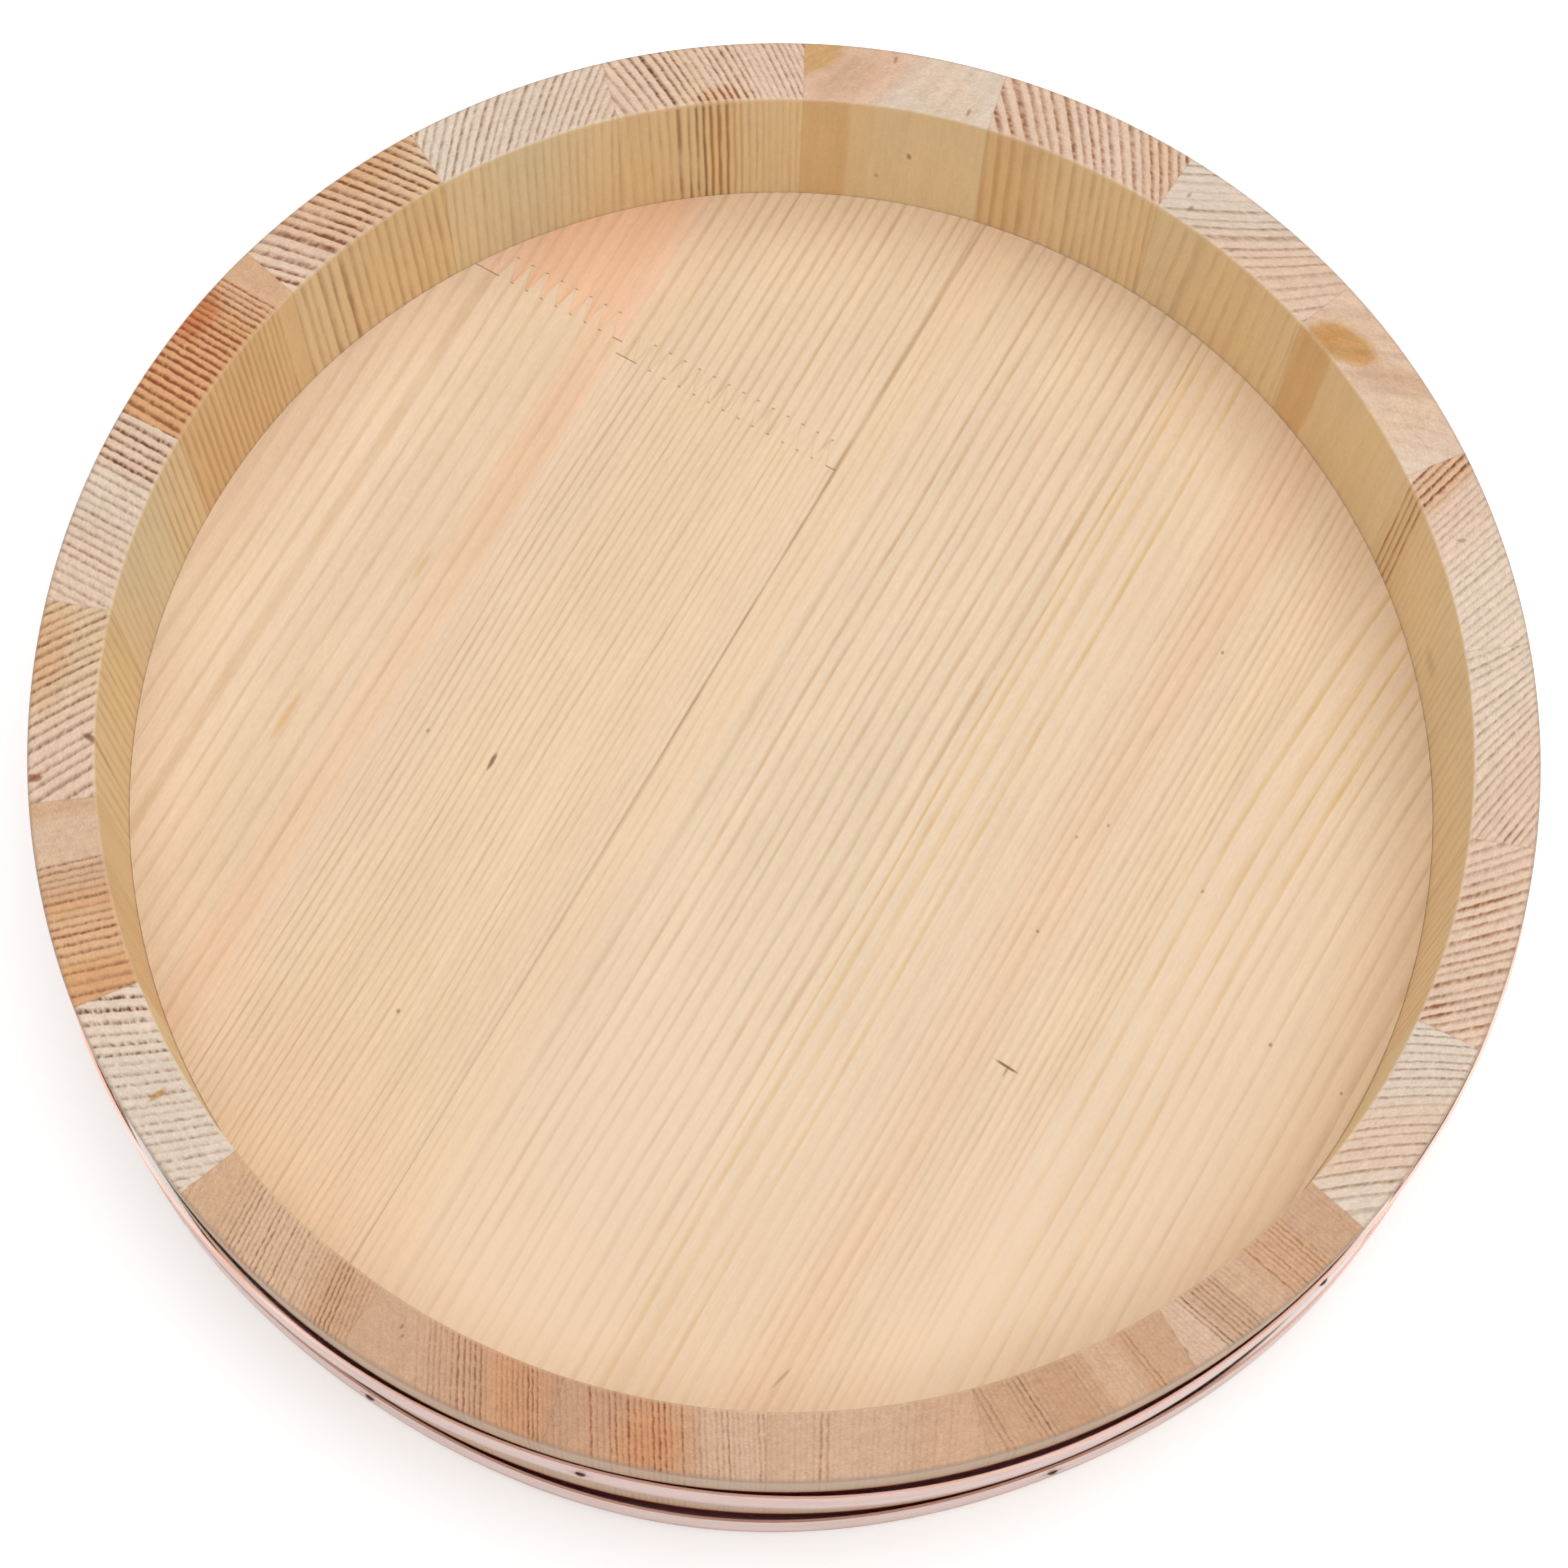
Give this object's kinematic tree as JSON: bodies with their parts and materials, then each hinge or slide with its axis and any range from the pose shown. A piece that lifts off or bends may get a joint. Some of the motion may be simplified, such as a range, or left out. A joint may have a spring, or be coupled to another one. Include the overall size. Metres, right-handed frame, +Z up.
{
  "type": "hangiri sushi rice tub",
  "caption": "Low round coopered wooden tub for cooling and dressing rice: staves around a jointed board bottom, held by two nailed copper bands.",
  "frame": {"origin": "on the tub's axis, on the ground under the stave ends", "axes": "+Z up along the axis of the tub out of its mouth; +X and +Y across it, with -Y towards the viewer of the picture"},
  "size_m": [0.3328, 0.3331, 0.075],
  "materials": {
    "wood_pale": "sanded bare softwood, pale cream",
    "wood_pink": "sanded bare softwood, pinkish",
    "wood_tan": "sanded bare softwood, tan",
    "wood_orange": "sanded bare softwood, orange-brown grain",
    "copper_band": "polished copper strip, rose tint",
    "nail_metal": "darkened copper nail"
  },
  "bodies": {
    "root": {"stave_01": "wood_pale", "stave_02": "wood_tan", "stave_03": "wood_pale", "stave_04": "wood_orange", "stave_05": "wood_pink", "stave_06": "wood_pink", "stave_07": "wood_pale", "stave_08": "wood_tan", "stave_09": "wood_pale", "stave_10": "wood_orange", "stave_11": "wood_pink", "stave_12": "wood_pink", "stave_13": "wood_pale", "stave_14": "wood_tan", "stave_15": "wood_pale", "stave_16": "wood_orange", "stave_17": "wood_pink", "stave_18": "wood_pink", "stave_19": "wood_pale", "stave_20": "wood_tan", "stave_21": "wood_pale", "stave_22": "wood_orange", "bottom_board_1": "wood_pale", "bottom_board_1_end": "wood_orange", "bottom_board_2": "wood_pink", "bottom_board_2_end": "wood_pale", "bottom_board_3": "wood_pale", "bottom_board_4": "wood_pink", "bottom_board_5": "wood_pale", "upper_band": "copper_band", "lower_band": "copper_band", "upper_band_nails": "nail_metal", "lower_band_nails": "nail_metal"}
  },
  "joints": []
}
